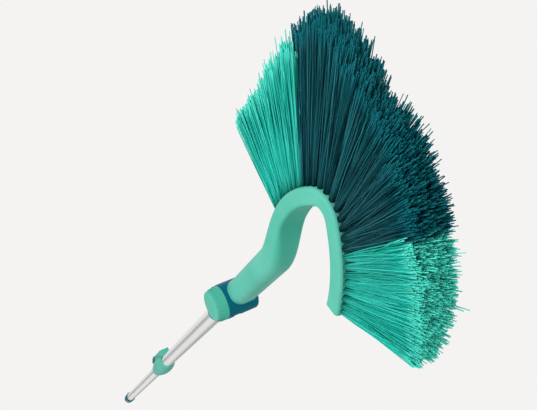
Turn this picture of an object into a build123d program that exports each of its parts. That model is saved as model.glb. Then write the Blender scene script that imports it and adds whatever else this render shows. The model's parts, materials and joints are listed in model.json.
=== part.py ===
from build123d import *
import os
from math import asin, cos, degrees, pi, radians, sin, sqrt

# Cobweb brush: an arched brush head on a tilting hinge, on a telescopic aluminium handle.
# Millimetres. Z runs up along the handle, X lies in the plane of the arch, and the clamping knob
# of the hinge faces -Y. The origin is the centre of the hanging hole in the end cap.

os.makedirs("parts", exist_ok=True)

# Clearances, and the overrun of every cut
running_gap = 0.05
fixed_gap = 0.03
soft_gap = 0.3
face_gap = 0.1
overrun = 5.0

# Handle tubes
outer_tube_dia = 22.0
inner_tube_dia = 19.4
tube_wall = 0.9
inner_tube_bottom = 8.0
inner_tube_length = 677.0
outer_tube_length = 492.5
tube_overlap = 85.0

# End cap with the hanging hole
cap_dia = 22.7
cap_lip = 0.5
cap_lip_height = 4.0
cap_top = 34.0
cap_bottom_drop = 16.0
cap_bottom_round = 7.5
cap_spigot_length = 20.0
cap_spigot_wall = 2.0
hanging_hole_dia = 8.0

# Guide on the top of the inner tube
guide_flange_height = 12.0
guide_plug_length = 25.0
guide_bore_dia = 11.0

# Clamp on the lower end of the outer tube
clamp_length = 114.0
clamp_seat_depth = 46.0
clamp_mouth_dia = 27.0
clamp_belly_dia = 34.0
clamp_belly_drop = 40.0
clamp_shoulder_dia = 31.0
clamp_shoulder_drop = 14.0
clamp_tail_dia = 22.6
clamp_edge_round = 1.2
guide_clearance = 0.15
lug_width = 16.0
lug_reach = 21.0
lug_root = 8.0
lug_rise = 8.0
lug_bottom_drop = 46.5
ear_thickness = 2.7
ear_bottom_drop = 64.0
pin_dia = 3.0
pin_reach = 17.0
pin_drop = 55.0
lever_head_width = 10.0
lever_grip_width = 14.0
lever_top_thickness = 5.0
lever_tip_drop = 106.0
lever_tip_reach = 13.4
lever_waist_reach = 15.6
lever_tip_thickness = 3.0
lever_belly_reach = 22.6
jaw_width = 9.0
jaw_height = 14.0
jaw_back_reach = 12.8
jaw_travel = 0.4

# Hinge: a drum that tilts on the hub of the tube socket, clamped by a knob on a through bolt
drum_dia = 42.0
drum_wall = 2.6
drum_front = 12.0
drum_rear = 27.0
drum_rear_wall = 3.0
drum_rear_round = 3.0
drum_boss_dia = 22.0
drum_flange_thickness = 3.0
hub_dia = 35.2
hub_thickness = 10.0
neck_width = 14.0
tilt_limit = 75.0
tilt_spare = 2.0
socket_dia = 29.0
socket_top_drop = 22.5
socket_length = 41.5
socket_depth = 36.5
socket_edge_round = 2.0
disc_dia = 33.0
disc_thickness = 1.4
plate_thickness = 1.9
spring_dia = 20.0
spring_height = 2.8
spring_sheet = 0.9
bolt_dia = 8.0
bolt_head_flats = 13.0
bolt_head_height = 5.3
bolt_end_inset = 5.5
bolt_edge = 0.5
nut_height = 6.5
nut_inset = 7.0

# Clamping knob
knob_base_dia = 41.2
knob_base_band = 1.6
knob_end_dia = 36.4
knob_end_inset = 3.6
knob_face_dia = 30.0
knob_front = 27.0
knob_wall = 2.4
knob_boss_dia = 18.0
knob_rib_count = 30
knob_rib_width = 1.1
knob_rib_height = 0.4
knob_rib_length = 7.4

# Plug and screw that hold the outer tube in its socket
plug_length = 52.0
plug_bore_dia = 8.0
screw_dia = 3.5
screw_head_dia = 6.4
screw_head_height = 2.2
socket_screw_length = 13.0
socket_screw_drop = 45.0
saddle_screw_length = 17.0
saddle_screw_spread = 6.0
saddle_screw_rearward = 9.5

# Brush body: arm, bend and arch
head_offset = 7.5
arch_thickness = 28.8
rim_depth = 16.25
rim_edge = 3.5
arch_lean = 13.1
apex_height = 320.8
crown_radius = 25.7
free_crown_angle = 46.1
fixed_crown_angle = 50.7
free_leg_radius = 161.9
fixed_leg_radius = 131.2
leg_end_reach = 116.0
fixed_leg_reach = 106.0
bend_pull_share = 1.03
bend_lateness_share = 1.25
leg_end_round = 2.5
arm_width = 30.4
arm_depth = 30.0
arm_edge = 11.5
arm_straight = 150.0
saddle_width = 31.0
saddle_depth = 32.5
saddle_shift = 2.1
saddle_rearward = 2.0
saddle_front_round = 14.5
saddle_rear_round = 6.0
saddle_root = 12.5
saddle_flare_height = 36.0
slot_height = 5.6
slot_floor = 20.4
slot_depth = 8.5
slot_front = 10.8

# Bristles
tuft_pitch = 8.1
tuft_shift = 1.5
side_tuft_count = 13
dark_side_tuft_count = 5
row_count = 5
row_pitch = 4.7
tuft_strand_count = 3
bristle_length = 100.0
strand_radius = 0.65
strand_side_count = 3
tuft_base_radius = 0.85
tuft_tip_radius = 3.0
strand_root = 1.0
backing_depth = 1.6
backing_half_width = 11.2
fan_full_angle = 68.0

# How the bristles fan out: the place of a tuft as a share of the farthest tuft's place, its turn from
# the arch's lean as a share of the full fan angle, its length as a share of the bristle length, and how
# far the outermost row leans sideways as a share of its length
fan_shares = [
    (-1, -0.994, 0.857, 0.03), (-0.77, -0.695, 0.903, 0.03), (-0.54, -0.483, 1.079, 0.02),
    (-0.31, -0.348, 1.324, 0), (-0.15, -0.231, 1.211, 0), (0, -0.092, 1.029, 0),
    (0.15, 0.113, 1.051, 0.02), (0.31, 0.284, 1.041, 0.045), (0.46, 0.393, 0.988, 0.06),
    (0.69, 0.49, 1.014, 0.06), (0.85, 0.579, 0.992, 0.04), (1, 0.725, 0.904, 0.01),
]

# Heights and radii worked out from the sizes above
outer_r = outer_tube_dia / 2
inner_r = inner_tube_dia / 2
outer_bore_r = outer_r - tube_wall
inner_bore_r = inner_r - tube_wall
drum_r = drum_dia / 2
drum_inner_r = drum_r - drum_wall
inner_tube_top = inner_tube_bottom + inner_tube_length
outer_tube_bottom = inner_tube_top - tube_overlap
outer_tube_top = outer_tube_bottom + outer_tube_length
hinge_height = outer_tube_top - socket_depth + socket_length + socket_top_drop
mouth = outer_tube_bottom + clamp_seat_depth
clamp_tail = mouth - clamp_length
hinge_axis = Axis((0, 0, hinge_height), (0, 1, 0))
side_plane = Plane(origin=(0, 0, hinge_height), x_dir=(1, 0, 0), z_dir=(0, 0, 1))


def across(y, height=hinge_height):
    """A plane square to Y: its local x is X, its local y is Z, and it faces -Y."""
    return Plane(origin=(0, y, height), x_dir=(1, 0, 0), z_dir=(0, -1, 0))


def level(z):
    """A plane square to the handle at height z."""
    return Plane.XY.offset(z)


def save(piece, name):
    """Labels a finished piece and writes its STEP file."""
    piece.part.label = name
    export_step(piece.part, f"parts/{name}.step")


# Inner tube, drawn aluminium
with BuildPart() as inner_tube:
    with BuildSketch(level(inner_tube_bottom)):
        Circle(inner_r)
        Circle(inner_bore_r, mode=Mode.SUBTRACT)
    extrude(amount=inner_tube_length)
save(inner_tube, "inner_tube")

# End cap, a moulded cup with a spigot inside the tube and the hanging hole across its solid end
cap_r = cap_dia / 2
with BuildPart() as end_cap:
    with BuildSketch(Plane.XZ):
        with BuildLine():
            Polyline((0, -cap_bottom_drop), (cap_r, -cap_bottom_drop), (cap_r, cap_top - cap_lip_height),
                     (cap_r + cap_lip, cap_top), (inner_r + fixed_gap, cap_top),
                     (inner_r + fixed_gap, inner_tube_bottom), (inner_bore_r - fixed_gap, inner_tube_bottom),
                     (inner_bore_r - fixed_gap, inner_tube_bottom + cap_spigot_length),
                     (inner_bore_r - cap_spigot_wall, inner_tube_bottom + cap_spigot_length),
                     (inner_bore_r - cap_spigot_wall, inner_tube_bottom), (0, inner_tube_bottom), close=True)
        make_face()
    revolve(axis=Axis.Z)
    fillet(end_cap.edges().filter_by(GeomType.CIRCLE).sort_by(Axis.Z)[0], cap_bottom_round)
    with BuildSketch(across(cap_r + overrun, height=0)):
        Circle(hanging_hole_dia / 2)
    extrude(amount=cap_dia + 2 * overrun, mode=Mode.SUBTRACT)
save(end_cap, "end_cap")

# Guide on the inner tube's top end, which slides in the outer tube
with BuildPart() as tube_guide:
    with BuildSketch(level(inner_tube_top)):
        Circle(outer_bore_r - face_gap)
    extrude(amount=guide_flange_height)
    with BuildSketch(level(inner_tube_top)):
        Circle(inner_bore_r - fixed_gap)
    extrude(amount=-guide_plug_length)
    with BuildSketch(level(inner_tube_top - guide_plug_length)):
        Circle(guide_bore_dia / 2)
    extrude(amount=guide_plug_length + guide_flange_height, mode=Mode.SUBTRACT)
save(tube_guide, "inner_tube_guide")

# Outer tube, with the hole for the socket screw
screw_height = hinge_height - socket_screw_drop
with BuildPart() as outer_tube:
    with BuildSketch(level(outer_tube_bottom)):
        Circle(outer_r)
        Circle(outer_bore_r, mode=Mode.SUBTRACT)
    extrude(amount=outer_tube_length)
    with BuildSketch(across(0, screw_height)):
        Circle(screw_dia / 2 + running_gap)
    extrude(amount=-(outer_r + overrun), mode=Mode.SUBTRACT)
save(outer_tube, "outer_tube")

# Clamp body: a bell that tapers to a guide round the inner tube, with a lug and two ears for the lever
lug_half = lug_width / 2
ear_inner = lug_half - ear_thickness
pin_height = mouth - pin_drop
guide_r = inner_r + guide_clearance
with BuildPart() as clamp_body:
    with BuildSketch(Plane.XZ):
        with BuildLine():
            belly = Spline((clamp_mouth_dia / 2, mouth), (clamp_shoulder_dia / 2, mouth - clamp_shoulder_drop),
                           (clamp_belly_dia / 2, mouth - clamp_belly_drop), (clamp_tail_dia / 2, clamp_tail))
            Polyline(belly @ 1, (guide_r, clamp_tail), (guide_r, outer_tube_bottom),
                     (outer_r + fixed_gap, outer_tube_bottom), (outer_r + fixed_gap, mouth), belly @ 0)
        make_face()
    revolve(axis=Axis.Z)
    fillet(clamp_body.edges().filter_by(GeomType.CIRCLE).sort_by(Axis.Z)[-2:].sort_by(SortBy.RADIUS)[-1],
           clamp_edge_round)
    with BuildSketch(across(-lug_half, 0)):
        with BuildLine():
            Polyline((-lug_reach, mouth + lug_rise), (-inner_r, mouth + lug_rise),
                     (-inner_r, mouth - ear_bottom_drop),
                     (-pin_reach, mouth - ear_bottom_drop), (-lug_reach, pin_height), close=True)
        make_face()
    extrude(amount=-lug_width)
    with BuildSketch(across(-ear_inner, 0)):
        with BuildLine():
            Polyline((-lug_reach - overrun, mouth - lug_bottom_drop), (-lug_root, mouth - lug_bottom_drop),
                     (-lug_root, mouth - ear_bottom_drop),
                     (-lug_reach - overrun, mouth - ear_bottom_drop), close=True)
        make_face()
    extrude(amount=-2 * ear_inner, mode=Mode.SUBTRACT)
    with BuildSketch(level(clamp_tail - overrun)):
        Circle(guide_r)
    extrude(amount=outer_tube_bottom - clamp_tail + 2 * overrun, mode=Mode.SUBTRACT)
    with BuildSketch(level(outer_tube_bottom)):
        Circle(outer_r + fixed_gap)
    extrude(amount=clamp_seat_depth + lug_rise + overrun, mode=Mode.SUBTRACT)
    with BuildSketch(across(-lug_half - overrun, 0)):
        with Locations((-pin_reach, pin_height)):
            Circle(pin_dia / 2 + running_gap)
    extrude(amount=-(lug_width + 2 * overrun), mode=Mode.SUBTRACT)
save(clamp_body, "clamp_body")

# Pin of the clamp lever
with BuildPart() as lever_pin:
    with BuildSketch(across(-lug_half, 0)):
        with Locations((-pin_reach, pin_height)):
            Circle(pin_dia / 2)
    extrude(amount=-lug_width)
save(lever_pin, "lever_pin")

# Jaw that the lever's cam presses on the inner tube
with BuildPart() as jaw:
    with BuildSketch(level(pin_height - jaw_height / 2)):
        Rectangle(jaw_back_reach, jaw_width, align=(Align.MAX, Align.CENTER))
        Circle(inner_r + face_gap, mode=Mode.SUBTRACT)
    extrude(amount=jaw_height)
save(jaw, "clamp_jaw")

# Clamp lever: an off-centre cam head between the ears and a lens-shaped grip along the body
lever_tip = mouth - lever_tip_drop
lever_root = mouth - ear_bottom_drop - soft_gap
head_half = lever_head_width / 2
cam_reach = pin_reach - jaw_back_reach - face_gap
with BuildPart() as lever:
    with BuildSketch(across(-head_half, 0)):
        with Locations((-pin_reach + jaw_travel, pin_height)):
            Circle(cam_reach - jaw_travel)
        with BuildLine():
            Polyline((-pin_reach, pin_height + cam_reach - jaw_travel), (-pin_reach, lever_root),
                     (-pin_reach - lever_top_thickness, lever_root),
                     (-pin_reach - cam_reach, pin_height), close=True)
        make_face()
    extrude(amount=-lever_head_width)
    with BuildSketch(across(-lever_grip_width / 2, 0)):
        with BuildLine():
            inside = ThreePointArc((-clamp_belly_dia / 2 - soft_gap, lever_root),
                                   (-lever_waist_reach, (lever_root + lever_tip) / 2),
                                   (-lever_tip_reach, lever_tip))
            outside = ThreePointArc((-pin_reach - lever_top_thickness, lever_root),
                                    (-lever_belly_reach, (2 * lever_root + lever_tip) / 3),
                                    (-lever_tip_reach - lever_tip_thickness, lever_tip))
            Line(inside @ 0, outside @ 0)
            Line(inside @ 1, outside @ 1)
        make_face()
    extrude(amount=-lever_grip_width)
    with BuildSketch(across(-lug_half - overrun, 0)):
        with Locations((-pin_reach, pin_height)):
            Circle(pin_dia / 2 + running_gap)
    extrude(amount=-(lug_width + 2 * overrun), mode=Mode.SUBTRACT)
save(lever, "clamp_lever")

# Tube socket: the hub inside the drum, its neck, and the socket round the outer tube
hub_half = hub_thickness / 2
socket_bottom = hinge_height - socket_top_drop - socket_length
with BuildPart() as tube_socket:
    with BuildSketch(level(socket_bottom)):
        Circle(socket_dia / 2)
    extrude(amount=socket_length)
    fillet(tube_socket.edges().filter_by(GeomType.CIRCLE), socket_edge_round)
    with BuildSketch(across(hub_half)):
        Circle(hub_dia / 2)
        with Locations((0, -socket_top_drop / 2)):
            Rectangle(neck_width, socket_top_drop)
    extrude(amount=hub_thickness)
    with BuildSketch(across(hub_half + overrun)):
        Circle(bolt_dia / 2 + face_gap)
    extrude(amount=hub_thickness + 2 * overrun, mode=Mode.SUBTRACT)
    with BuildSketch(level(socket_bottom)):
        Circle(outer_r + fixed_gap)
    extrude(amount=socket_depth, mode=Mode.SUBTRACT)
    with BuildSketch(across(0, screw_height)):
        Circle(screw_dia / 2 + running_gap)
    extrude(amount=-(socket_dia / 2 + overrun), mode=Mode.SUBTRACT)
    with BuildSketch(across(socket_dia / 2 - screw_head_height, screw_height)):
        Circle(screw_head_dia / 2 + running_gap)
    extrude(amount=-(screw_head_height + overrun), mode=Mode.SUBTRACT)
save(tube_socket, "tube_socket")

# Plug inside the tube's top end, which the socket screw bites into
with BuildPart() as plug:
    with BuildSketch(level(outer_tube_top - plug_length)):
        Circle(outer_bore_r - fixed_gap)
        Circle(plug_bore_dia / 2, mode=Mode.SUBTRACT)
    extrude(amount=plug_length)
    with BuildSketch(across(0, screw_height)):
        Circle(screw_dia / 2 + running_gap)
    extrude(amount=-(outer_r + overrun), mode=Mode.SUBTRACT)
save(plug, "tube_plug")

# Socket screw from the back
screw_seat = socket_dia / 2 - screw_head_height
with BuildPart() as socket_screw:
    with BuildSketch(across(screw_seat, screw_height)):
        Circle(screw_dia / 2)
    extrude(amount=socket_screw_length - screw_head_height)
    with BuildSketch(across(screw_seat, screw_height)):
        Circle(screw_head_dia / 2)
    extrude(amount=-screw_head_height)
save(socket_screw, "socket_screw")

# Friction discs on both sides of the hub
for side, start in (("front", -hub_half - face_gap), ("rear", hub_half + face_gap + disc_thickness)):
    with BuildPart() as disc:
        with BuildSketch(across(start)):
            Circle(disc_dia / 2)
            Circle(bolt_dia / 2 + face_gap, mode=Mode.SUBTRACT)
        extrude(amount=disc_thickness)
    save(disc, f"friction_disc_{side}")

# Drum: a cup with a slot for the neck below, and a boss and flange that back the rear disc
flange_front = hub_half + 2 * face_gap + disc_thickness
slot_half_angle = degrees(asin(neck_width / 2 / drum_inner_r)) + tilt_limit + tilt_spare
slot_reach = drum_r + overrun
with BuildPart() as drum:
    with BuildSketch(across(drum_rear)):
        Circle(drum_r)
    extrude(amount=drum_rear + drum_front)
    fillet(drum.edges().filter_by(GeomType.CIRCLE).sort_by(Axis.Y)[-1], drum_rear_round)
    with BuildSketch(across(drum_rear - drum_rear_wall)):
        Circle(drum_inner_r)
        Circle(drum_boss_dia / 2, mode=Mode.SUBTRACT)
    extrude(amount=drum_rear - drum_rear_wall - flange_front - drum_flange_thickness, mode=Mode.SUBTRACT)
    with BuildSketch(across(flange_front + drum_flange_thickness)):
        Circle(drum_inner_r)
        Circle(disc_dia / 2, mode=Mode.SUBTRACT)
    extrude(amount=drum_flange_thickness, mode=Mode.SUBTRACT)
    with BuildSketch(across(flange_front)):
        Circle(drum_inner_r)
    extrude(amount=flange_front + drum_front + overrun, mode=Mode.SUBTRACT)
    with BuildSketch(across(hub_half + soft_gap)):
        with BuildLine():
            edge = CenterArc((0, 0), slot_reach, -90 - slot_half_angle, 2 * slot_half_angle)
            Line((0, 0), edge @ 0)
            Line((0, 0), edge @ 1)
        make_face()
        Circle(drum_inner_r - drum_wall, mode=Mode.SUBTRACT)
    extrude(amount=hub_thickness + 2 * soft_gap, mode=Mode.SUBTRACT)
    with BuildSketch(across(drum_rear + overrun)):
        Circle(bolt_dia / 2 + running_gap)
    extrude(amount=drum_rear + overrun, mode=Mode.SUBTRACT)
    with BuildSketch(across(drum_rear + overrun)):
        RegularPolygon(bolt_head_flats / 2 + face_gap, side_count=6, major_radius=False)
    extrude(amount=bolt_head_height + overrun, mode=Mode.SUBTRACT)
    with BuildSketch(level(hinge_height)):
        with Locations((-saddle_shift - saddle_screw_spread, head_offset + saddle_screw_rearward),
                       (-saddle_shift + saddle_screw_spread, head_offset + saddle_screw_rearward)):
            Circle(screw_dia / 2 + running_gap)
    extrude(amount=drum_r + overrun, mode=Mode.SUBTRACT)
save(drum, "hinge_drum")

# Through bolt with its head in the drum's rear face
bolt_tip = knob_front - bolt_end_inset
with BuildPart() as bolt:
    with BuildSketch(across(drum_rear)):
        RegularPolygon(bolt_head_flats / 2, side_count=6, major_radius=False)
    extrude(amount=bolt_head_height)
    with BuildSketch(across(drum_rear - bolt_head_height)):
        Circle(bolt_dia / 2)
    extrude(amount=drum_rear - bolt_head_height + bolt_tip)
    chamfer(bolt.edges().filter_by(GeomType.CIRCLE).sort_by(Axis.Y)[0], bolt_edge)
save(bolt, "hinge_bolt")

# Pressure plate and cone spring between the front disc and the knob
plate_rear = hub_half + 2 * face_gap + disc_thickness
with BuildPart() as plate:
    with BuildSketch(across(-plate_rear)):
        Circle(disc_dia / 2)
        Circle(bolt_dia / 2 + face_gap, mode=Mode.SUBTRACT)
    extrude(amount=plate_thickness)
save(plate, "pressure_plate")

spring_rear = plate_rear + plate_thickness
spring_front = spring_rear + spring_height
spring_hole_r = bolt_dia / 2 + soft_gap
with BuildPart() as spring:
    with BuildSketch(side_plane):
        with BuildLine():
            Polyline((spring_hole_r, -spring_front + spring_sheet), (spring_hole_r, -spring_front),
                     (spring_dia / 2, -spring_rear - spring_sheet), (spring_dia / 2, -spring_rear), close=True)
        make_face()
    revolve(axis=hinge_axis)
save(spring, "cone_spring")

# Clamping knob: a domed shell with a ribbed, tapered grip and a boss for the nut
knob_rear = drum_front + face_gap
knob_r = knob_base_dia / 2
end_r = knob_end_dia / 2
grip_r = (knob_r + end_r) / 2
grip_rear = -knob_rear - knob_base_band
grip_front = -knob_front + knob_end_inset
grip_centre = (grip_rear + grip_front) / 2
boss_rear = spring_front + face_gap
nut_rear = knob_front - nut_inset - nut_height
with BuildPart() as knob_ribs:
    with BuildSketch(side_plane):
        with BuildLine():
            Polyline((grip_r - knob_wall, grip_rear), (knob_r + knob_rib_height, grip_rear),
                     (end_r + knob_rib_height, grip_front), (grip_r - knob_wall, grip_front), close=True)
        make_face()
    revolve(axis=hinge_axis)
    with BuildSketch(across(grip_centre + knob_rib_length / 2)):
        with PolarLocations(grip_r, knob_rib_count):
            Rectangle(2 * knob_wall, knob_rib_width)
    extrude(amount=knob_rib_length, mode=Mode.INTERSECT)
with BuildPart() as knob:
    with BuildSketch(side_plane):
        with BuildLine():
            grip = Polyline((knob_r, -knob_rear), (knob_r, grip_rear), (end_r, grip_front))
            shoulder = Spline(grip @ 1, (knob_face_dia / 2, -knob_front), tangents=[(0, -1), (-1, 0)])
            Polyline(shoulder @ 1, (0, -knob_front), (0, -knob_front + knob_wall),
                     (knob_face_dia / 2, -knob_front + knob_wall), (end_r - knob_wall, grip_front),
                     (knob_r - knob_wall, grip_rear), (knob_r - knob_wall, -knob_rear), grip @ 0)
        make_face()
    revolve(axis=hinge_axis)
    with BuildSketch(across(-boss_rear)):
        Circle(knob_boss_dia / 2)
    extrude(amount=knob_front - boss_rear - knob_wall / 2)
    add(knob_ribs.part)
    with BuildSketch(across(-boss_rear)):
        Circle(bolt_dia / 2 + running_gap)
    extrude(amount=bolt_tip - boss_rear + soft_gap, mode=Mode.SUBTRACT)
    with BuildSketch(across(-boss_rear)):
        RegularPolygon(bolt_head_flats / 2 + running_gap, side_count=6, major_radius=False)
    extrude(amount=nut_rear + nut_height - boss_rear, mode=Mode.SUBTRACT)
save(knob, "clamping_knob")

# Nut pressed into the knob's boss
with BuildPart() as nut:
    with BuildSketch(across(-nut_rear)):
        RegularPolygon(bolt_head_flats / 2, side_count=6, major_radius=False)
        Circle(bolt_dia / 2 + running_gap, mode=Mode.SUBTRACT)
    extrude(amount=nut_height)
save(nut, "knob_nut")


# The arch is a crown arc with a flatter arc on each side, in the hinge's X-Z plane. A place on it is
# the distance s along its outer face from the apex, positive towards the free leg, and a depth inwards.
lean = radians(90 + arch_lean)
free_crown_reach = crown_radius * radians(free_crown_angle)
fixed_crown_reach = crown_radius * radians(fixed_crown_angle)


def arc_at(s):
    """The arc that holds place s: its centre, its radius, and the angle of the radius through s."""
    crown = (-crown_radius * cos(lean), apex_height - crown_radius * sin(lean))
    if -fixed_crown_reach <= s <= free_crown_reach:
        return crown, crown_radius, lean - s / crown_radius
    side = 1 if s > 0 else -1
    reach = free_crown_reach if s > 0 else fixed_crown_reach
    radius = free_leg_radius if s > 0 else fixed_leg_radius
    joint = lean - side * reach / crown_radius
    gap = crown_radius - radius
    centre = (crown[0] + gap * cos(joint), crown[1] + gap * sin(joint))
    return centre, radius, joint - side * (abs(s) - reach) / radius


def rim_point(s, depth):
    """Point on the arch at distance s from the apex and the given depth, in the hinge's X-Z plane."""
    centre, radius, angle = arc_at(s)
    return (centre[0] + (radius - depth) * cos(angle), centre[1] + (radius - depth) * sin(angle))


def rim_band(s_from, s_to, depth_out, depth_in):
    """Draws the outline of a band of the arch between two places and two depths."""
    stops = [s for s in (-fixed_crown_reach, free_crown_reach) if s_from < s < s_to]
    stops = [s_from] + stops + [s_to]
    for depth in (depth_out, depth_in):
        for a, b in zip(stops, stops[1:]):
            ThreePointArc(rim_point(a, depth), rim_point((a + b) / 2, depth), rim_point(b, depth))
    Line(rim_point(s_from, depth_out), rim_point(s_from, depth_in))
    Line(rim_point(s_to, depth_out), rim_point(s_to, depth_in))


def section_plane(x, z, direction):
    """Plane square to the brush body's path at a point of the hinge's X-Z plane."""
    return Plane(origin=(x, head_offset, hinge_height + z), x_dir=(0, 1, 0),
                 z_dir=(direction[0], 0, direction[1]))


def rim_section(s):
    """Plane square to the arch at place s, through the middle of its section."""
    x, z = rim_point(s, rim_depth / 2)
    heading = arc_at(s)[2] - pi / 2
    return section_plane(x, z, (cos(heading), sin(heading)))


def bend_station(t):
    """Plane, width, depth and corner radius of the bend at share t of the way from arm to fixed leg."""
    foot_x, foot_z = rim_point(-fixed_leg_reach, rim_depth / 2)
    foot_heading = arc_at(-fixed_leg_reach)[2] - pi / 2
    pull = bend_pull_share * (foot_z - arm_straight)
    pull_x, pull_z = pull * cos(foot_heading), pull * sin(foot_heading)
    rise_share = t * t * (3 - 2 * t)
    start_share = t * (1 - t) ** 2
    end_share = t * t * (t - 1)
    x = rise_share * foot_x + end_share * pull_x
    z = arm_straight + rise_share * (foot_z - arm_straight) + start_share * pull + end_share * pull_z
    slope = 6 * t * (1 - t)
    slope_x = slope * foot_x + t * (3 * t - 2) * pull_x
    slope_z = slope * (foot_z - arm_straight) + (1 - t) * (1 - 3 * t) * pull + t * (3 * t - 2) * pull_z
    late = t ** bend_lateness_share
    arm_share = 1 - late * late * (3 - 2 * late)
    width = rim_depth + (arm_width - rim_depth) * arm_share
    depth = arch_thickness + (arm_depth - arch_thickness) * arm_share
    corner = rim_edge + (arm_edge - rim_edge) * arm_share
    return section_plane(x, z, (slope_x, slope_z)), width, depth, corner


zone_half = side_tuft_count * tuft_pitch + tuft_pitch / 2
bend_steps = 6
with BuildPart() as brush_body:
    for shift, rearward, height, width, depth, front_round, rear_round in (
            (saddle_shift, saddle_rearward, saddle_root, saddle_width, saddle_depth,
             saddle_front_round, saddle_rear_round),
            (0, 0, saddle_flare_height, arm_width, arm_depth, arm_edge, arm_edge)):
        with BuildSketch(section_plane(-shift, height, (0, 1))) as foot:
            with Locations((rearward, 0)):
                Rectangle(depth, width)
            fillet(foot.vertices().sort_by(Axis.X)[:2], front_round)
            fillet(foot.vertices().sort_by(Axis.X)[-2:], rear_round)
    loft(ruled=True)
    with BuildSketch(section_plane(0, saddle_flare_height, (0, 1))):
        RectangleRounded(arm_depth, arm_width, arm_edge)
    extrude(amount=arm_straight - saddle_flare_height)
    for step in range(bend_steps + 1):
        plane, width, depth, corner = bend_station(step / bend_steps)
        with BuildSketch(plane):
            RectangleRounded(depth, width, corner)
    loft()
    leg_tip = leg_end_reach - 2 * leg_end_round
    for start, stop in ((-fixed_leg_reach, -fixed_crown_reach), (-fixed_crown_reach, free_crown_reach),
                        (free_crown_reach, leg_tip)):
        centre, radius, angle = arc_at((start + stop) / 2)
        with BuildSketch(rim_section(start)):
            RectangleRounded(arch_thickness, rim_depth, rim_edge)
        revolve(axis=Axis((centre[0], head_offset, hinge_height + centre[1]), (0, 1, 0)),
                revolution_arc=degrees((stop - start) / radius))
    for place, inset in ((leg_tip, 0), (leg_end_reach, leg_end_round)):
        with BuildSketch(rim_section(place)):
            RectangleRounded(arch_thickness - 2 * inset, rim_depth - 2 * inset, rim_edge)
    loft(ruled=True)
    with BuildSketch(across(drum_rear + overrun)):
        Circle(drum_r + face_gap)
    extrude(amount=drum_rear + drum_front + 2 * overrun, mode=Mode.SUBTRACT)
    with BuildSketch(across(head_offset + backing_half_width + face_gap)):
        with BuildLine():
            rim_band(tuft_shift - zone_half, tuft_shift + zone_half, -overrun, backing_depth)
        make_face()
    extrude(amount=2 * (backing_half_width + face_gap), mode=Mode.SUBTRACT)
    with BuildSketch(Plane(origin=(arm_width / 2 - slot_depth, 0, hinge_height + slot_floor + slot_height / 2),
                           x_dir=(0, 1, 0), z_dir=(1, 0, 0))):
        with Locations((slot_front + slot_height / 2, 0)):
            Circle(slot_height / 2)
        with Locations((slot_front + slot_height / 2, 0)):
            Rectangle(arm_depth, slot_height, align=(Align.MIN, Align.CENTER))
    extrude(amount=slot_depth + overrun, mode=Mode.SUBTRACT)
    with BuildSketch(level(hinge_height)):
        with Locations((-saddle_shift - saddle_screw_spread, head_offset + saddle_screw_rearward),
                       (-saddle_shift + saddle_screw_spread, head_offset + saddle_screw_rearward)):
            Circle(screw_dia / 2 + running_gap)
    extrude(amount=drum_r + saddle_screw_length, mode=Mode.SUBTRACT)
save(brush_body, "brush_body")

# Two screws from inside the drum into the arm
screw_side_reach = saddle_shift + saddle_screw_spread + screw_head_dia / 2
screw_foot = sqrt(drum_inner_r ** 2 - screw_side_reach ** 2) - face_gap
with BuildPart() as saddle_screws:
    for side in (-1, 1):
        with BuildSketch(level(hinge_height + screw_foot)):
            with Locations((-saddle_shift + side * saddle_screw_spread, head_offset + saddle_screw_rearward)):
                Circle(screw_dia / 2)
        extrude(amount=saddle_screw_length)
        with BuildSketch(level(hinge_height + screw_foot)):
            with Locations((-saddle_shift + side * saddle_screw_spread, head_offset + saddle_screw_rearward)):
                Circle(screw_head_dia / 2)
        extrude(amount=-screw_head_height)
save(saddle_screws, "saddle_screws")


def fan_at(place):
    """Turn, length and sideways lean of the bristles at a share of the farthest tuft's place."""
    for (start, *low), (stop, *high) in zip(fan_shares, fan_shares[1:]):
        if place <= stop:
            break
    along_share = (place - start) / (stop - start)
    turn_share, length_share, lean_share = [a + (b - a) * along_share for a, b in zip(low, high)]
    return radians(turn_share * fan_full_angle), length_share * bristle_length, lean_share


def strand(tuft, y, turn):
    """One three-sided strand of a tuft in the row at y, from inside the backing to its tip."""
    x, z = rim_point(tuft * tuft_pitch + tuft_shift, strand_root)
    fan_turn, length, lean_share = fan_at(tuft / side_tuft_count)
    sideways = lean_share * y / backing_half_width
    direction = Vector(cos(lean - fan_turn), sideways, sin(lean - fan_turn)).normalized()
    plane = Plane(origin=(x, head_offset + y, hinge_height + z), x_dir=(0, 1, 0), z_dir=direction)
    offset = plane.x_dir * cos(turn) + plane.y_dir * sin(turn)
    foot = plane.origin + offset * tuft_base_radius
    tip = plane.origin + direction * length + offset * tuft_tip_radius
    strand_plane = Plane(origin=foot, z_dir=(tip - foot).normalized())
    face = strand_plane * RegularPolygon(strand_radius, side_count=strand_side_count)
    return extrude(face, amount=(tip - foot).length)


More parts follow.
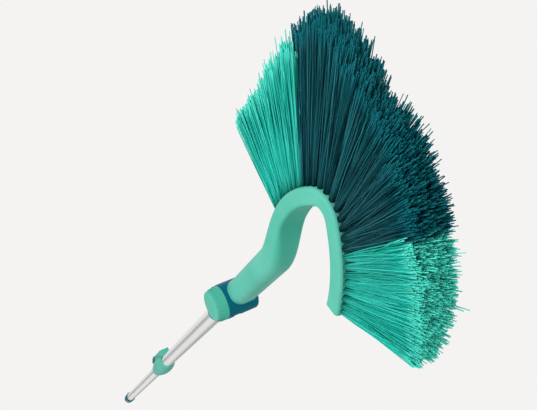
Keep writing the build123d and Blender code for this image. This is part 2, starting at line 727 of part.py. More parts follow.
# Bristle sectors: name and the numbers of their first and last tufts, counted from the apex
dark = dark_side_tuft_count
far = side_tuft_count
mint_split = (dark + far + 1) // 2
crown_split = dark // 2
sectors = [
    ("bristles_mint_left_lower", -far, -mint_split),
    ("bristles_mint_left_upper", -mint_split + 1, -dark - 1),
    ("bristles_dark_left", -dark, -crown_split),
    ("bristles_dark_crown", -crown_split + 1, crown_split - 1),
    ("bristles_dark_right", crown_split, dark),
    ("bristles_mint_right_upper", dark + 1, mint_split - 1),
    ("bristles_mint_right_lower", mint_split, far),
]
for name, first, last in sectors:
    strands = []
    for tuft in range(first, last + 1):
        for row in range(row_count):
            y = (row - (row_count - 1) / 2) * row_pitch
            for number in range(tuft_strand_count):
                turn = 2 * pi * number / tuft_strand_count + (tuft % 2) * pi
                strands.append(strand(tuft, y, turn))
    with BuildPart() as bristles:
        with BuildSketch(across(head_offset + backing_half_width)):
            with BuildLine():
                margin = (tuft_pitch - face_gap) / 2
                rim_band(first * tuft_pitch + tuft_shift - margin, last * tuft_pitch + tuft_shift + margin,
                         0, backing_depth - face_gap / 2)
            make_face()
        extrude(amount=2 * backing_half_width)
        add(strands)
    save(bristles, name)
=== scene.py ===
# %% [markdown]
# # A cobweb brush on a telescopic handle
#
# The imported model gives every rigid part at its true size. This lesson dresses it: moulded plastics,
# drawn aluminium, and the thousands of bristles that the solid model only hints at. The origin is the
# hanging hole in the end cap, Z runs up the handle, X lies in the plane of the arch.

# %% The frame
import json

import bpy
import numpy as np
from mathutils import Matrix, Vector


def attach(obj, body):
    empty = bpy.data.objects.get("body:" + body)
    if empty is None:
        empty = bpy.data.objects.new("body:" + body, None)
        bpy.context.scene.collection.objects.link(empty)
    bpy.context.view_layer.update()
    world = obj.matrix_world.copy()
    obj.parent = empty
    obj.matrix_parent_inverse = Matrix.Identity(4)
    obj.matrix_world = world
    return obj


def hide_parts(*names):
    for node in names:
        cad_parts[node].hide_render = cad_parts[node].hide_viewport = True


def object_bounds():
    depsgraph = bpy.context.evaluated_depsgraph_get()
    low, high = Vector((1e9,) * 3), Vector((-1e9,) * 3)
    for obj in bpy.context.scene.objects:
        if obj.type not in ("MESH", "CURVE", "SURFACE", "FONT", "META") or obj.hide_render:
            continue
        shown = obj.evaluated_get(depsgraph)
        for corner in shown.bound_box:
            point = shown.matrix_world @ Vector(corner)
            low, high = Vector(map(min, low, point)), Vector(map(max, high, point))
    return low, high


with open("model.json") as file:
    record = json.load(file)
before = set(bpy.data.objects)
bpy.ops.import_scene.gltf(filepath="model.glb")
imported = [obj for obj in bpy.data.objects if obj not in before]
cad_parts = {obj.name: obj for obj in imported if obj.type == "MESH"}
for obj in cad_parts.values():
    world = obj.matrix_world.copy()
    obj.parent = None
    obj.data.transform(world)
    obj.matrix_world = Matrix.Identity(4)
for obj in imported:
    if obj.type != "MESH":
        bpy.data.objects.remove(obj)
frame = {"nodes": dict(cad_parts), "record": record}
nodes = frame["nodes"]
cad_box = [list(corner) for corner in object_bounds()]
mm = 0.001
print("frame:", len(nodes), "nodes, box", [[round(v, 4) for v in c] for c in cad_box])

# %% [markdown]
# ## Camera
#
# The photograph looks down the handle from above the head, so the arch is near and the end cap is far
# away and small. The camera's place and its three axes were solved from measured outlines of the hinge,
# the handle and the arch. A focal length of 680 pixels over a 537 pixel frame is a 45.6 mm lens.

# %% Camera
hinge_height = 1120 * mm
hinge = np.array([0.0, 0.0, hinge_height])
camera_place = hinge + np.array([94.785, -248.485, 757.883]) * mm
camera_right = (0.42059130, 0.86044119, 0.28765242)
camera_up = (-0.88092712, 0.31149698, 0.35628226)
camera_back = (0.21695707, -0.40325003, 0.88899890)
photo_width = 537
focal_pixels = 680

camera_data = bpy.data.cameras.new("camera")
camera_data.sensor_width = 36
camera_data.lens = focal_pixels / photo_width * camera_data.sensor_width
camera_data.clip_end = 50
camera = bpy.data.objects.new("camera", camera_data)
bpy.context.scene.collection.objects.link(camera)
pose = np.eye(4)
pose[:3, 0], pose[:3, 1], pose[:3, 2], pose[:3, 3] = camera_right, camera_up, camera_back, camera_place
camera.matrix_world = Matrix(pose.tolist())
bpy.context.scene.camera = camera
bpy.context.scene.view_settings.view_transform = "Standard"
print("lens", round(camera_data.lens, 2), "mm")

# %% [markdown]
# ## A small kit for materials
#
# Colours are picked as the sRGB hex values a painter would use, and one function turns them to the
# linear numbers that the shader wants. One more function adds a node, sets it and links it.

# %% Colour and node helpers
def linear(hex_colour):
    """Linear RGBA of an sRGB hex colour: each channel through the sRGB curve."""
    srgb = np.array([int(hex_colour[i:i + 2], 16) for i in (1, 3, 5)]) / 255
    low = srgb / 12.92
    high = ((srgb + 0.055) / 1.055) ** 2.4
    return (*np.where(srgb <= 0.04045, low, high), 1.0)


def add(tree, kind, settings=None, links=None):
    """Adds a node, sets its properties or input values, and links inputs from other nodes' outputs."""
    node = tree.nodes.new(kind)
    for key, value in (settings or {}).items():
        if isinstance(key, str) and hasattr(node, key):
            setattr(node, key, value)
        else:
            node.inputs[key].default_value = value
    for key, output in (links or {}).items():
        tree.links.new(output, node.inputs[key])
    return node


def new_material(name):
    """A new node material with only a Principled shader wired to its output."""
    material = bpy.data.materials.new(name)
    material.use_nodes = True
    tree = material.node_tree
    tree.nodes.clear()
    shader = add(tree, "ShaderNodeBsdfPrincipled")
    add(tree, "ShaderNodeOutputMaterial", links={"Surface": shader.outputs[0]})
    return material, tree, shader


def ramp(tree, factor, stops):
    """A colour ramp over a factor: stops are pairs of a position and a hex colour."""
    node = add(tree, "ShaderNodeValToRGB", links={"Fac": factor})
    elements = node.color_ramp.elements
    elements[0].position, elements[-1].position = stops[0][0], stops[-1][0]
    elements[0].color, elements[-1].color = linear(stops[0][1]), linear(stops[-1][1])
    for position, colour in stops[1:-1]:
        elements.new(position).color = linear(colour)
    return node.outputs["Color"]


# %% [markdown]
# ## Moulded plastics
#
# The brush back, the knob and the clamp are injection-moulded polypropylene. It is a satin surface: the
# mould was finely spark-eroded, which gives a grain of about 0.3 mm that only shows as a soft highlight.
# Light enters a little way, so a trace of subsurface scattering takes the hardness off the shaded side.
# The colour drifts very slightly over some centimetres, as it does where the melt flowed. Where two
# faces look at each other, as inside the arch, an Ambient Occlusion node mixes a deeper, darker tone
# into the colour: painted shade, standing in for the shade there and for the light that bounces
# between the faces and takes on more of the colour each time.

# %% Moulded polypropylene
grain_size = 0.3 * mm
grain_strength = 0.06
flow_size = 40 * mm
painted_shade_reach = 120 * mm
plastic_ior = 1.49
scatter_colours = (0.6, 1.0, 0.9)
scatter_depth = 2 * mm


def moulded_plastic(name, light, base, painted_hollow_shade, roughness, scatter, specular):
    """Satin moulded plastic: a slow drift between two close colours, painted shade deepening it in hollows,
    finely grained.
    """
    material, tree, shader = new_material(name)
    place = add(tree, "ShaderNodeTexCoord").outputs["Object"]
    flow = add(tree, "ShaderNodeTexNoise", {"Scale": 1 / flow_size, "Detail": 2.0}, {"Vector": place})
    drift = ramp(tree, flow.outputs["Fac"], [(0.35, base), (0.65, light)])
    # painted shade: where faces of the part look at each other, the Ambient Occlusion node mixes in the
    # darker, deeper colour
    painted_shade_ao = add(tree, "ShaderNodeAmbientOcclusion",
                 {"samples": 8, "only_local": True, "Distance": painted_shade_reach})
    unshaded_share = add(tree, "ShaderNodeMapRange", {"From Min": 0.76, "From Max": 0.99},
                     {"Value": painted_shade_ao.outputs["AO"]})
    colour = add(tree, "ShaderNodeMix", {"data_type": "RGBA", 6: linear(painted_hollow_shade)},
                 {0: unshaded_share.outputs[0], 7: drift}).outputs[2]
    grain = add(tree, "ShaderNodeTexNoise", {"Scale": 1 / grain_size, "Detail": 1.0}, {"Vector": place})
    gloss = add(tree, "ShaderNodeMapRange", {"To Min": roughness - 0.04, "To Max": roughness + 0.06},
                {"Value": grain.outputs["Fac"]})
    bump = add(tree, "ShaderNodeBump", {"Strength": grain_strength, "Distance": grain_size},
               {"Height": grain.outputs["Fac"]})
    tree.links.new(colour, shader.inputs["Base Color"])
    tree.links.new(gloss.outputs[0], shader.inputs["Roughness"])
    tree.links.new(bump.outputs[0], shader.inputs["Normal"])
    shader.inputs["IOR"].default_value = plastic_ior
    shader.inputs["Specular IOR Level"].default_value = specular
    shader.inputs["Subsurface Weight"].default_value = scatter
    shader.inputs["Subsurface Radius"].default_value = scatter_colours
    shader.inputs["Subsurface Scale"].default_value = scatter_depth
    return material


# The third colour of each material is the painted shade for its hollows.
mint_plastic = moulded_plastic("moulded polypropylene mint",
                               "#57AF9D", "#4DA893", "#0A9C82", 0.42, 0.06, 0.08)
petrol_plastic = moulded_plastic("moulded polypropylene petrol",
                                 "#006578", "#005B6E", "#00485A", 0.38, 0.03, 0.07)
grey_plastic = moulded_plastic("moulded acetal grey",
                               "#A2A5A6", "#98999B", "#8A8B8D", 0.42, 0.05, 0.4)

# %% [markdown]
# ## Drawn aluminium
#
# The two tubes are drawn through a die and then clear anodised. Drawing leaves very fine lines along
# the tube, so the noise is squeezed across the tube and stretched along it. The real lines are a few
# hundredths of a millimetre apart; they are drawn here ten times coarser, or they would not show.

# %% Drawn aluminium
line_pitch = 0.4 * mm
line_length = 120 * mm


def drawn_aluminium(name):
    """Anodised aluminium with fine lines along Z that vary its roughness and tip its normal a little."""
    material, tree, shader = new_material(name)
    place = add(tree, "ShaderNodeTexCoord").outputs["Object"]
    stretch = add(tree, "ShaderNodeMapping", {"Scale": (1 / line_pitch, 1 / line_pitch, 1 / line_length)},
                  {"Vector": place})
    lines = add(tree, "ShaderNodeTexNoise", {"Scale": 1.0, "Detail": 3.0, "Roughness": 0.6},
                {"Vector": stretch.outputs[0]})
    colour = ramp(tree, lines.outputs["Fac"], [(0.3, "#EAEBEB"), (0.7, "#F5F5F4")])
    gloss = add(tree, "ShaderNodeMapRange", {"To Min": 0.24, "To Max": 0.38}, {"Value": lines.outputs["Fac"]})
    bump = add(tree, "ShaderNodeBump", {"Strength": 0.05, "Distance": 0.1 * mm},
               {"Height": lines.outputs["Fac"]})
    tree.links.new(colour, shader.inputs["Base Color"])
    tree.links.new(gloss.outputs[0], shader.inputs["Roughness"])
    tree.links.new(bump.outputs[0], shader.inputs["Normal"])
    shader.inputs["Metallic"].default_value = 1.0
    return material


aluminium = drawn_aluminium("anodised drawn aluminium")

# %% [markdown]
# ## Steel and rubber
#
# The hinge bolt, the screws and the spring are zinc-plated steel, a little bluish with a faint mottle.
# The friction discs inside the hinge are filled rubber, nearly black and matt.

# %% Zinc-plated steel and friction rubber
def mottled(name, dark, light, patch, metallic, rough_low, rough_high):
    """A surface whose colour and roughness wander between two values in patches of one size."""
    material, tree, shader = new_material(name)
    place = add(tree, "ShaderNodeTexCoord").outputs["Object"]
    patches = add(tree, "ShaderNodeTexNoise", {"Scale": 1 / patch, "Detail": 4.0}, {"Vector": place})
    colour = ramp(tree, patches.outputs["Fac"], [(0.35, dark), (0.65, light)])
    gloss = add(tree, "ShaderNodeMapRange", {"To Min": rough_low, "To Max": rough_high},
                {"Value": patches.outputs["Fac"]})
    tree.links.new(colour, shader.inputs["Base Color"])
    tree.links.new(gloss.outputs[0], shader.inputs["Roughness"])
    shader.inputs["Metallic"].default_value = metallic
    return material


zinc_steel = mottled("zinc-plated steel", "#A4A8AE", "#C6C9CC", 1.5 * mm, 1.0, 0.26, 0.42)
friction_rubber = mottled("filled friction rubber", "#161617", "#222224", 0.8 * mm, 0.0, 0.7, 0.9)

slot_material = {
    "aluminium": aluminium, "mint_plastic": mint_plastic, "petrol_plastic": petrol_plastic,
    "grey_plastic": grey_plastic, "steel": zinc_steel, "friction_rubber": friction_rubber,
}
for entry in frame["record"]["subparts"]:
    if entry["material_slot"] in slot_material:
        node = nodes[entry["node"]]
        node.data.materials.clear()
        node.data.materials.append(slot_material[entry["material_slot"]])

# %% [markdown]
# ## The line of the arch
#
# Everything on the head is placed along the arch: a tight crown arc with a flatter arc on each side. A
# place is the distance s along the outer face from the apex, positive towards the free leg. Working it
# out for whole arrays at once places thousands of bristles in one step.

# %% Places along the arch
lean = np.radians(90 + 13.1)
apex_height = 320.8 * mm
crown_radius = 25.7 * mm
free_crown_reach = crown_radius * np.radians(46.1)
fixed_crown_reach = crown_radius * np.radians(50.7)
free_leg_radius = 161.9 * mm
fixed_leg_radius = 131.2 * mm
head_offset = 7.5 * mm
crown_centre = np.array([-crown_radius * np.cos(lean), apex_height - crown_radius * np.sin(lean)])


def arch_point(s, depth):
    """X and Z from the hinge of place s at a depth: centre of its arc plus (radius - depth) outwards."""
    side = np.where(s > 0, 1.0, -1.0)
    reach = np.where(s > 0, free_crown_reach, fixed_crown_reach)
    leg_radius = np.where(s > 0, free_leg_radius, fixed_leg_radius)
    on_leg = np.abs(s) > reach
    joint = lean - side * reach / crown_radius
    radius = np.where(on_leg, leg_radius, crown_radius)
    angle = np.where(on_leg, joint - side * (np.abs(s) - reach) / leg_radius, lean - s / crown_radius)
    shift = np.where(on_leg, crown_radius - leg_radius, 0.0)
    x = crown_centre[0] + shift * np.cos(joint) + (radius - depth) * np.cos(angle)
    z = crown_centre[1] + shift * np.sin(joint) + (radius - depth) * np.sin(angle)
    return x, z, angle


# The table gives the place of a tuft as a share of the farthest tuft's place, its turn from the lean of
# the arch as a share of 68 degrees, its length as a share of 100 mm, and the sideways lean of the
# outermost row. The solid model uses the same table.
fan_table = np.array([
    (-1, -0.994, 0.857, 0.03), (-0.77, -0.695, 0.903, 0.03), (-0.54, -0.483, 1.079, 0.02),
    (-0.31, -0.348, 1.324, 0), (-0.15, -0.231, 1.211, 0), (0, -0.092, 1.029, 0),
    (0.15, 0.113, 1.051, 0.02), (0.31, 0.284, 1.041, 0.045), (0.46, 0.393, 0.988, 0.06),
    (0.69, 0.49, 1.014, 0.06), (0.85, 0.579, 0.992, 0.04), (1, 0.725, 0.904, 0.01),
])


def fan_at(place):
    """Direction, length and sideways lean of the bristles at shares of the farthest tuft's place."""
    turn, length, side_lean = (np.interp(place, fan_table[:, 0], fan_table[:, i]) for i in (1, 2, 3))
    return lean - turn * np.radians(68.0), length * 100 * mm, side_lean


# %% [markdown]
# ## Meshes from grids
#
# A tube or a sheet is a grid of points: rows along it, columns round it. The faces of a grid can be
# listed with index arithmetic alone, so no loop over vertices is needed.

# %% Mesh helpers
def build_mesh(name, points, faces, material, uv=None, smooth=True):
    """Makes a mesh object from point and face arrays; uv holds one pair a vertex."""
    mesh = bpy.data.meshes.new(name)
    mesh.from_pydata(points.reshape(-1, 3).tolist(), [], [list(f) for f in faces])
    if uv is not None:
        layer = mesh.uv_layers.new(name="UVMap")
        corners = np.empty(len(mesh.loops), dtype=np.int32)
        mesh.loops.foreach_get("vertex_index", corners)
        layer.data.foreach_set("uv", uv.reshape(-1, 2)[corners].astype(np.float32).ravel())
    mesh.polygons.foreach_set("use_smooth", np.full(len(mesh.polygons), smooth))
    mesh.materials.append(material)
    mesh.update()
    piece = bpy.data.objects.new(name, mesh)
    bpy.context.scene.collection.objects.link(piece)
    return piece


# %% [markdown]
# ## Bristles
#
# The real bristles are extruded polypropylene filament, about 0.8 mm thick, folded and stapled into
# holes in the brush back, about a hundred filament ends to a tuft. Each comes out of its hole as part of a
# tight bundle and then loosens, so the tips of neighbouring tufts mix. They were trimmed to a curve
# after filling, but a few stand proud. The trimming knife reaches as far as the solid model's sides and
# a fortieth of its width past them, so no filament ends farther out than that. A hair system would not
# travel with the model, so each filament is a slim square tube of its own with a slight bend and a cut
# end.

# %% Filament material
filament_radius = 0.42 * mm


def filament(name, stops, painted_tip_light_colour, rough, specular):
    """Extruded filament: colour by filament from the second map coordinate, with painted light making the cut
    tip paler and painted shade darkening the root.

    The plastic is milky, so a part of the light wanders a filament's thickness before it leaves."""
    material, tree, shader = new_material(name)
    strand = add(tree, "ShaderNodeSeparateXYZ",
                 links={0: add(tree, "ShaderNodeTexCoord").outputs["UV"]})
    by_strand = ramp(tree, strand.outputs["Y"], stops)
    # painted light: the last tenth of each filament fades to the paler tip colour
    tip_painted_light = add(tree, "ShaderNodeMapRange", {"From Min": 0.9, "From Max": 1.0}, {"Value": strand.outputs["X"]})
    # painted shade: the first eighth of each filament, down among the tufts, is darkened to 55 per cent
    root_painted_shade = add(tree, "ShaderNodeMapRange", {"From Min": 0.0, "From Max": 0.12, "To Min": 0.55, "To Max": 1.0},
               {"Value": strand.outputs["X"]})
    shade = add(tree, "ShaderNodeMix", {"data_type": "RGBA", "blend_type": "MULTIPLY", 0: 1.0})
    tree.links.new(by_strand, shade.inputs[6])
    tree.links.new(root_painted_shade.outputs[0], shade.inputs[7])
    colour = add(tree, "ShaderNodeMix", {"data_type": "RGBA", 7: linear(painted_tip_light_colour)},
                 {0: tip_painted_light.outputs[0], 6: shade.outputs[2]})
    tree.links.new(colour.outputs[2], shader.inputs["Base Color"])
    shader.inputs["Roughness"].default_value = rough
    shader.inputs["IOR"].default_value = plastic_ior
    shader.inputs["Specular IOR Level"].default_value = specular
    shader.inputs["Subsurface Weight"].default_value = 0.3
    shader.inputs["Subsurface Radius"].default_value = scatter_colours
    shader.inputs["Subsurface Scale"].default_value = 2 * filament_radius
    return material


# The last colour of each is the painted light at the filament tips.
mint_filament = filament("extruded filament mint",
                         [(0.0, "#008E7E"), (0.5, "#0FA898"), (1.0, "#38C2B1")], "#4AD4C1", 0.42, 0.14)
dark_filament = filament("extruded filament dark teal",
                         [(0.0, "#002A31"), (0.55, "#00434C"), (1.0, "#1E646D")], "#005F69", 0.42, 0.07)

# %% Sizes of the tufts
tuft_pitch = 8.1 * mm
tuft_shift = 1.5 * mm
side_tufts = 13
row_pitch = 4.7 * mm
row_count = 5
strands_per_tuft = 100
hole_radius = 2.2 * mm
root_depth = 1.2 * mm
half_width = 11.2 * mm
print("filaments in all:", (2 * side_tufts + 1) * row_count * strands_per_tuft)

# %% How far each thing strays from its mean
fan_wander = 0.008
lean_wander = 0.006
tuft_length_wander = 0.010
length_wander = 0.028
arch_wander = 0.22
row_wander = 0.28
arch_bow = 0.9 * mm
row_bow = 0.6 * mm
stray_share = 0.035
stray_least, stray_most = 2 * mm, 11 * mm
stray_side = 3 * mm
thinnest, thickest = 0.85, 1.12
knife_wander = 3 * mm
knife_spare = (cad_box[1][0] - cad_box[0][0]) / 40
knife_low = cad_box[0][0] - knife_spare
knife_high = cad_box[1][0] + knife_spare


# %% Where each tuft stands and points
def tufts_at(first, last, rng):
    """Place, direction, sideways lean, length and spacing at the tips of the tufts from first to last."""
    tuft, row = np.meshgrid(np.arange(first, last + 1), np.arange(row_count), indexing="ij")
    tuft, row = tuft.ravel(), row.ravel()
    s = tuft * tuft_pitch + tuft_shift
    y = (row - (row_count - 1) / 2) * row_pitch
    fan, length, side_lean = fan_at(tuft / side_tufts)
    fan = fan + rng.normal(0, fan_wander, tuft.size)
    side_lean = side_lean * y / half_width + rng.normal(0, lean_wander, tuft.size)
    tuft_length = length * rng.normal(1, tuft_length_wander, tuft.size)
    beside = tuft + np.array([[-0.5], [0.5]])
    beside_fan, beside_length, _ = fan_at(beside / side_tufts)
    beside_x, beside_z, _ = arch_point(beside * tuft_pitch + tuft_shift, root_depth)
    tip_x = beside_x + beside_length * np.cos(beside_fan)
    tip_z = beside_z + beside_length * np.sin(beside_fan)
    return s, y, fan, side_lean, tuft_length, np.hypot(tip_x[1] - tip_x[0], tip_z[1] - tip_z[0])


# %% Trimming
def trimmed(line, foot, rng):
    """Shortens the lines whose tips are past the knife's reach in X, each towards its own foot."""
    tip_x = line[:, -1, 0]
    knife = rng.uniform(0, knife_wander, len(line))
    cut_x = np.clip(tip_x, knife_low + knife, knife_high - knife)
    cut_x = np.where((tip_x < knife_low) | (tip_x > knife_high), cut_x, tip_x)
    kept_share = (cut_x - foot[:, 0]) / (tip_x - foot[:, 0])
    return foot[:, None, :] + (line - foot[:, None, :]) * kept_share[:, None, None]


# %% How the filaments run
rings = 5
loose_share = 0.5
loosening = 1.3


def filament_lines(first, last, rng):
    """Centre lines of the filaments, with the two directions across each and its turn in the hole.

    A point is foot + along * length * t + sideways offsets. The offsets go from the place in the hole to
    the place at the tip as t ** loosening, plus a bow of sin(pi * t)."""
    s, y, fan, side_lean, length, spread = tufts_at(first, last, rng)
    each = np.repeat(np.arange(s.size), strands_per_tuft)
    total = each.size
    turn = rng.uniform(0, 2 * np.pi, total)
    out = np.sqrt(rng.uniform(0, 1, total))
    foot_arch, foot_row = out * np.cos(turn), out * np.sin(turn)
    fan = fan[each]
    along = np.stack([np.cos(fan), side_lean[each], np.sin(fan)], 1)
    along /= np.linalg.norm(along, axis=1, keepdims=True)
    across = np.stack([np.sin(fan), np.zeros(total), -np.cos(fan)], 1)
    third = np.cross(along, across)
    foot_x, foot_z, _ = arch_point(s[each], root_depth)
    foot = np.stack([foot_x, head_offset + y[each], hinge_height + foot_z], 1)
    length = length[each] * rng.normal(1, length_wander, total)
    stray = rng.uniform(0, 1, total) < stray_share
    length += np.where(stray, rng.uniform(stray_least, stray_most, total), 0)
    tip_arch = spread[each] * (loose_share * foot_arch + rng.normal(0, arch_wander, total))
    tip_arch += np.where(stray, rng.normal(0, stray_side, total), 0)
    tip_row = row_pitch * (loose_share * foot_row + rng.normal(0, row_wander, total))
    t = np.linspace(0, 1, rings)[None, :]
    loosen, bow = t ** loosening, np.sin(np.pi * t)
    arch_offset, row_offset = (
        hole_radius * at_foot[:, None] * (1 - loosen) + at_tip[:, None] * loosen
        + rng.normal(0, most, total)[:, None] * bow
        for at_foot, at_tip, most in ((foot_arch, tip_arch, arch_bow), (foot_row, tip_row, row_bow)))
    line = (foot[:, None, :] + along[:, None, :] * (length[:, None] * t)[..., None]
            + across[:, None, :] * arch_offset[..., None] + third[:, None, :] * row_offset[..., None])
    return trimmed(line, foot, rng), across, third, turn


# %% One colour's stretch of the fan
sides = 4


def sector(name, node, first, last, material, seed):
    """All the filaments of the tufts from first to last, counted from the apex, as square tubes."""
    rng = np.random.default_rng(seed)
    line, across, third, turn = filament_lines(first, last, rng)
    total = len(line)
    corner = turn[:, None] + np.arange(sides)[None, :] * 2 * np.pi / sides
    rim = (across[:, None, :] * np.cos(corner)[..., None] + third[:, None, :] * np.sin(corner)[..., None])
    radius = filament_radius * rng.uniform(thinnest, thickest, total)
    points = line[:, :, None, :] + rim[:, None, :, :] * radius[:, None, None, None]
    vertex = np.arange(total * rings * sides).reshape(total, rings, sides)
    after = np.roll(vertex, -1, axis=2)
    quads = np.stack([vertex[:, :-1], after[:, :-1], after[:, 1:], vertex[:, 1:]], -1).reshape(-1, 4)
    caps = np.concatenate([vertex[:, 0, ::-1], vertex[:, -1, :]])
    whole = (total, rings, sides)
    uv = np.stack([np.broadcast_to(np.linspace(0, 1, rings)[None, :, None], whole),
                   np.broadcast_to(rng.uniform(0, 1, total)[:, None, None], whole)], -1)
    piece = build_mesh(name, points, np.concatenate([quads, caps]), material, uv)
    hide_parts(node)
    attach(piece, "head")
    print(name, total, "filaments,", 2 * (len(quads) + len(caps)), "triangles")
    return piece


# %% The seven sectors
sector_plan = [
    ("tufts_mint_left_lower", "bristles_mint_left_lower", -13, -9, mint_filament),
    ("tufts_mint_left_upper", "bristles_mint_left_upper", -8, -6, mint_filament),
    ("tufts_dark_left", "bristles_dark_left", -5, -2, dark_filament),
    ("tufts_dark_crown", "bristles_dark_crown", -1, 1, dark_filament),
    ("tufts_dark_right", "bristles_dark_right", 2, 5, dark_filament),
    ("tufts_mint_right_upper", "bristles_mint_right_upper", 6, 8, mint_filament),
    ("tufts_mint_right_lower", "bristles_mint_right_lower", 9, 13, mint_filament),
]
for seed, (name, node, first, last, material) in enumerate(sector_plan):
    sector(name, node, first, last, material, seed)

# %% [markdown]
# ## The tuft bed
#
# Between the tufts the outer face of the back shows as a smooth strip with a small raised rim round
# each hole. The rims are worked out as a height over the strip: a narrow bell curve round every hole.

# %% Tuft bed
bed_thickness = 1.4 * mm
bed_step = 0.6 * mm
rim_height = 0.3 * mm
rim_radius = 2.5 * mm
rim_width = 0.45 * mm
bed_sink = 0.15 * mm
bed_columns = 40
zone_half = (side_tufts + 0.5) * tuft_pitch


def tuft_bed():
    """A closed strip: the top follows the arch just under its face, with a rim round each hole.

    The underside is the same grid at an even depth, and shares the top's points along the border."""
    s = np.arange(-zone_half, zone_half + bed_step / 2, bed_step) + tuft_shift
    y = np.linspace(-half_width, half_width, bed_columns)
    grid_s, grid_y = np.meshgrid(s, y, indexing="ij")
    from_tuft = grid_s - tuft_shift
    hole_s = from_tuft - np.round(from_tuft / tuft_pitch) * tuft_pitch
    nearest = np.clip(np.round(grid_y / row_pitch), -(row_count // 2), row_count // 2)
    hole_y = grid_y - nearest * row_pitch
    from_hole = np.hypot(hole_s, hole_y)
    height = rim_height * np.exp(-((from_hole - rim_radius) / rim_width) ** 2)
    depth = bed_sink - height
    depth[[0, -1], :] = bed_thickness
    depth[:, [0, -1]] = bed_thickness
    x, z, _ = arch_point(grid_s, depth)
    top = np.stack([x, head_offset + grid_y, hinge_height + z], -1)
    x, z, _ = arch_point(grid_s, np.full_like(grid_s, bed_thickness))
    under = np.stack([x, head_offset + grid_y, hinge_height + z], -1)
    rows, columns = grid_s.shape
    over = np.arange(rows * columns).reshape(rows, columns)
    below = over + rows * columns
    below[[0, -1], :] = over[[0, -1], :]
    below[:, [0, -1]] = over[:, [0, -1]]
    above, beneath = (np.stack([grid[:-1, :-1], grid[:-1, 1:], grid[1:, 1:], grid[1:, :-1]], -1)
                      for grid in (over, below))
    faces = np.concatenate([above.reshape(-1, 4)[:, ::-1], beneath.reshape(-1, 4)])
    used, faces = np.unique(faces, return_inverse=True)
    points = np.concatenate([top.reshape(-1, 3), under.reshape(-1, 3)])[used]
    piece = build_mesh("tuft_bed", points, faces.reshape(-1, 4), mint_plastic)
    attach(piece, "head")
    print("tuft bed", rows, "by", columns, "points")


tuft_bed()

# %% [markdown]
# ## Floor, painted reflections and lamps
#
# The photograph is a cut-out on a pale ground with soft light from above. The floor lies well below
# the cap. It shows one even ground colour to the camera through Is Camera Ray, and stays a normal pale
# floor for the light that bounces up to the brush. A polished tube only looks like metal when it has
# something to mirror, as a photographer's grey cards give it. Seen down its length the tube mirrors the
# floor right round it, and two grey wedges painted into the floor colour, pointing at the handle, give
# it two dark lines along its length: a painted reflection. They are a ramp over the direction from the
# handle, for mirrored rays alone.

# %% Stage
ground_colour = "#F4F3F2"
left_painted_reflection, right_painted_reflection, painted_reflection_edge = "#A4A4A3", "#A0A09F", "#E4E3E2"
floor_height = -0.4
floor_size = 8.0
corner = floor_size / 2
floor_points = np.array([[-corner, -corner, floor_height], [corner, -corner, floor_height],
                         [corner, corner, floor_height], [-corner, corner, floor_height]])
floor_material, floor_tree, floor_shader = new_material("pale studio floor")
floor_shader.inputs["Base Color"].default_value = linear("#E8E8E6")
floor_shader.inputs["Roughness"].default_value = 0.9
ray = add(floor_tree, "ShaderNodeLightPath")
floor_place = add(floor_tree, "ShaderNodeTexCoord").outputs["Object"]
around = add(floor_tree, "ShaderNodeTexGradient", {"gradient_type": "RADIAL"}, {"Vector": floor_place})
# painted reflection: two grey wedges in the floor colour, seen by mirrored rays alone, give the tube its dark
# lines
painted_reflection_ramp = ramp(floor_tree, around.outputs["Fac"],
             [(0.13, ground_colour), (0.175, left_painted_reflection), (0.22, left_painted_reflection), (0.28, ground_colour),
              (0.46, ground_colour), (0.54, right_painted_reflection), (0.6, right_painted_reflection), (0.67, painted_reflection_edge),
              (0.9, ground_colour)])
ground = add(floor_tree, "ShaderNodeMix", {"data_type": "RGBA", 6: linear(ground_colour)},
             {0: ray.outputs["Is Glossy Ray"], 7: painted_reflection_ramp})
glow = add(floor_tree, "ShaderNodeEmission", {"Strength": 1.0}, {"Color": ground.outputs[2]})
mirrored = add(floor_tree, "ShaderNodeMath", {"operation": "MAXIMUM"},
               {0: ray.outputs["Is Glossy Ray"], 1: ray.outputs["Is Transmission Ray"]})
seen = add(floor_tree, "ShaderNodeMath", {"operation": "MAXIMUM"},
           {0: ray.outputs["Is Camera Ray"], 1: mirrored.outputs[0]})
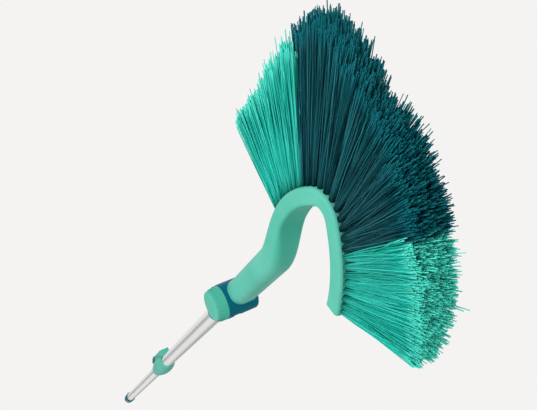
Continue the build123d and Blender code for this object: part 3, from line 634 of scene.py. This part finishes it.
mixed = add(floor_tree, "ShaderNodeMixShader", links={0: seen.outputs[0], 1: floor_shader.outputs[0],
                                                      2: glow.outputs[0]})
floor_output = next(part for part in floor_tree.nodes if part.type == "OUTPUT_MATERIAL")
floor_tree.links.new(mixed.outputs[0], floor_output.inputs["Surface"])
floor = build_mesh("studio_floor", floor_points, [(0, 1, 2, 3)], floor_material, smooth=False)

world = bpy.data.worlds.new("soft studio")
bpy.context.scene.world = world
world.use_nodes = True
world.node_tree.nodes.clear()
sky = add(world.node_tree, "ShaderNodeBackground", {"Color": linear(ground_colour), "Strength": 0.62})
seen_sky = add(world.node_tree, "ShaderNodeBackground", {"Color": linear(ground_colour), "Strength": 1.0})
world_ray = add(world.node_tree, "ShaderNodeLightPath")
world_mix = add(world.node_tree, "ShaderNodeMixShader",
                links={0: world_ray.outputs["Is Camera Ray"], 1: sky.outputs[0], 2: seen_sky.outputs[0]})
add(world.node_tree, "ShaderNodeOutputWorld", links={"Surface": world_mix.outputs[0]})


# %% Lamps
def softbox(name, place, target, width, height, power):
    """A rectangular area lamp at a place, turned to face a target."""
    data = bpy.data.lights.new(name, "AREA")
    data.shape, data.size, data.size_y, data.energy = "RECTANGLE", width, height, power
    lamp = bpy.data.objects.new(name, data)
    bpy.context.scene.collection.objects.link(lamp)
    back = np.array(place, float) - np.array(target, float)
    back /= np.linalg.norm(back)
    right = np.cross((0.0, 0.0, 1.0), back)
    right /= np.linalg.norm(right)
    turn = np.eye(4)
    turn[:3, 0], turn[:3, 1], turn[:3, 2], turn[:3, 3] = right, np.cross(back, right), back, place
    lamp.matrix_world = Matrix(turn.tolist())
    return lamp


softbox("key light", (-0.7, -1.4, 2.3), (0, 0, 1.2), 1.2, 1.2, 34)
softbox("fill light", (1.5, -1.3, 1.5), (0, 0, 1.2), 1.0, 1.4, 13)
softbox("back light", (0.3, 1.5, 2.0), (0, 0, 1.2), 1.2, 1.0, 8)

# %% [markdown]
# ## Finish
#
# The solid model's box is printed again. The visual model must stay inside the solid
# model's box.

# %% Sizes and the end
print("cad   ", [[round(v, 4) for v in c] for c in cad_box])
